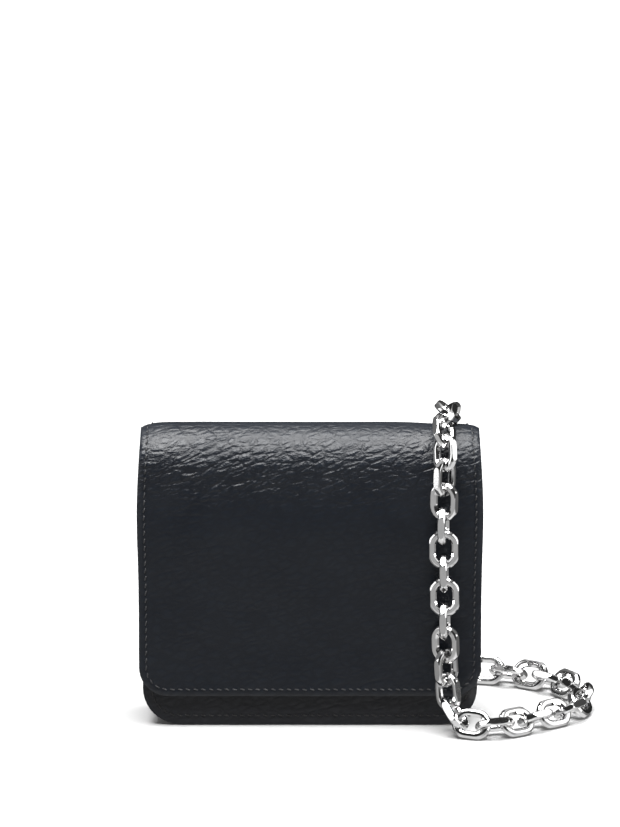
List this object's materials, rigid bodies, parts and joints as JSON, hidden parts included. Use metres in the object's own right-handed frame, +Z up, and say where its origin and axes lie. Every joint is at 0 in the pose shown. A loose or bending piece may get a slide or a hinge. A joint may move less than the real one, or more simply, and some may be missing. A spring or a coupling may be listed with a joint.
{
  "type": "chain wallet",
  "caption": "Small upright flap wallet in black grained leather, with a zipped coin pocket, card and bill pockets and a heavy silver cross-body chain laid over its top and wound up behind it.",
  "frame": {"origin": "middle of the base that the wallet stands on", "axes": "+Z up, -Y towards the front with the flap, +X towards the side that the chain lies over"},
  "size_m": [0.1482, 0.1406, 0.1069],
  "materials": {
    "grained_leather": "pebbled, satin black",
    "smooth_leather": "smooth, matt black",
    "lining": "fine twill, black",
    "thread": "twisted polyester, black",
    "board": "plain",
    "zip_tape": "woven, black",
    "zip_metal": "polished",
    "fastener": "polished",
    "clasp_metal": "polished",
    "chain": "polished, faceted links"
  },
  "bodies": {
    "body": {"back_panel_leather": "grained_leather", "back_panel_lining": "lining", "back_panel_stitching": "thread", "front_panel_leather": "grained_leather", "front_panel_lining": "lining", "front_panel_stitching": "thread", "press_stud": "fastener", "gusset_band": "grained_leather", "bill_divider": "smooth_leather", "coin_pocket_wall": "smooth_leather", "coin_pocket_bag": "lining", "card_panel_rear": "smooth_leather", "card_panel_front": "smooth_leather", "zip_teeth_rear": "zip_metal", "zip_teeth_front": "zip_metal", "zip_tape_rear": "zip_tape", "zip_tape_front": "zip_tape", "zip_stops": "zip_metal", "ring_tab_left": "grained_leather", "ring_tab_right": "grained_leather", "tab_rivet_left": "fastener", "tab_rivet_right": "fastener", "chain_floor_link": "chain", "chain_floor_run": "chain", "chain_coil": "chain", "chain_tail": "chain"},
    "top": {"top_leather": "grained_leather", "top_lining": "lining", "top_stitching": "thread"},
    "flap": {"flap_leather": "grained_leather", "flap_board": "board", "flap_lining": "lining", "flap_stitching": "thread", "press_socket": "fastener"},
    "chain_over_top": {"chain_drape": "chain"},
    "slider": {"zip_slider": "zip_metal"},
    "pull": {"zip_pull": "zip_metal"},
    "d_ring_left": {"d_ring_left": "clasp_metal"},
    "clasp_left": {"clasp_left": "clasp_metal"},
    "gate_left": {"clasp_gate_left": "clasp_metal"},
    "d_ring_right": {"d_ring_right": "clasp_metal"},
    "clasp_right": {"clasp_right": "clasp_metal"},
    "gate_right": {"clasp_gate_right": "clasp_metal"}
  },
  "joints": [
    {"name": "top_fold", "type": "hinge", "parent": "body", "child": "top", "pos_m": [0, 0.012, 0.0841], "axis": [-1, 0, 0], "range_deg": [0, 90], "deforming": ["chain_drape"]},
    {"name": "flap_fold", "type": "hinge", "parent": "top", "child": "flap", "pos_m": [0, -0.0142, 0.0841], "axis": [-1, 0, 0], "range_deg": [0, 90]},
    {"name": "chain_lift", "type": "hinge", "parent": "body", "child": "chain_over_top", "pos_m": [0.0465, 0, 0.016], "axis": [0, 1, 0], "range_deg": [0, 100]},
    {"name": "zip_slide", "type": "slide", "parent": "body", "child": "slider", "axis": [-1, 0, 0], "range_m": [0, 0.074]},
    {"name": "zip_pull_turn", "type": "hinge", "parent": "slider", "child": "pull", "pos_m": [0.037, 0.0024, 0.0808], "axis": [0, 1, 0], "range_deg": [0, 150]},
    {"name": "d_ring_left_swing", "type": "hinge", "parent": "body", "child": "d_ring_left", "pos_m": [-0.024, 0.0149, 0.0635], "axis": [1, 0, 0], "range_deg": [0, 12]},
    {"name": "clasp_left_hang", "type": "hinge", "parent": "d_ring_left", "child": "clasp_left", "pos_m": [-0.024, 0.01997, 0.05262], "axis": [-1, 0, 0], "range_deg": [0, 19.2]},
    {"name": "gate_left_press", "type": "hinge", "parent": "clasp_left", "child": "gate_left", "pos_m": [-0.024, 0.02407, 0.04726], "axis": [1, 0, 0], "range_deg": [0, 16], "stiffness_Nm_per_rad": 0.0002},
    {"name": "d_ring_right_swing", "type": "hinge", "parent": "body", "child": "d_ring_right", "pos_m": [0.024, 0.0149, 0.0635], "axis": [1, 0, 0], "range_deg": [0, 12]},
    {"name": "clasp_right_hang", "type": "hinge", "parent": "d_ring_right", "child": "clasp_right", "pos_m": [0.024, 0.01997, 0.05262], "axis": [-1, 0, 0], "range_deg": [0, 19.2]},
    {"name": "gate_right_press", "type": "hinge", "parent": "clasp_right", "child": "gate_right", "pos_m": [0.024, 0.02407, 0.04726], "axis": [1, 0, 0], "range_deg": [0, 16], "stiffness_Nm_per_rad": 0.0002}
  ],
  "couplings": [
    {"joint": "flap_fold", "follows": "top_fold", "ratio": 1},
    {"joint": "chain_lift", "follows": "top_fold", "ratio": 1.1111},
    {"joint": "clasp_left_hang", "follows": "d_ring_left_swing", "ratio": 1.6},
    {"joint": "clasp_right_hang", "follows": "d_ring_right_swing", "ratio": 1.6}
  ]
}
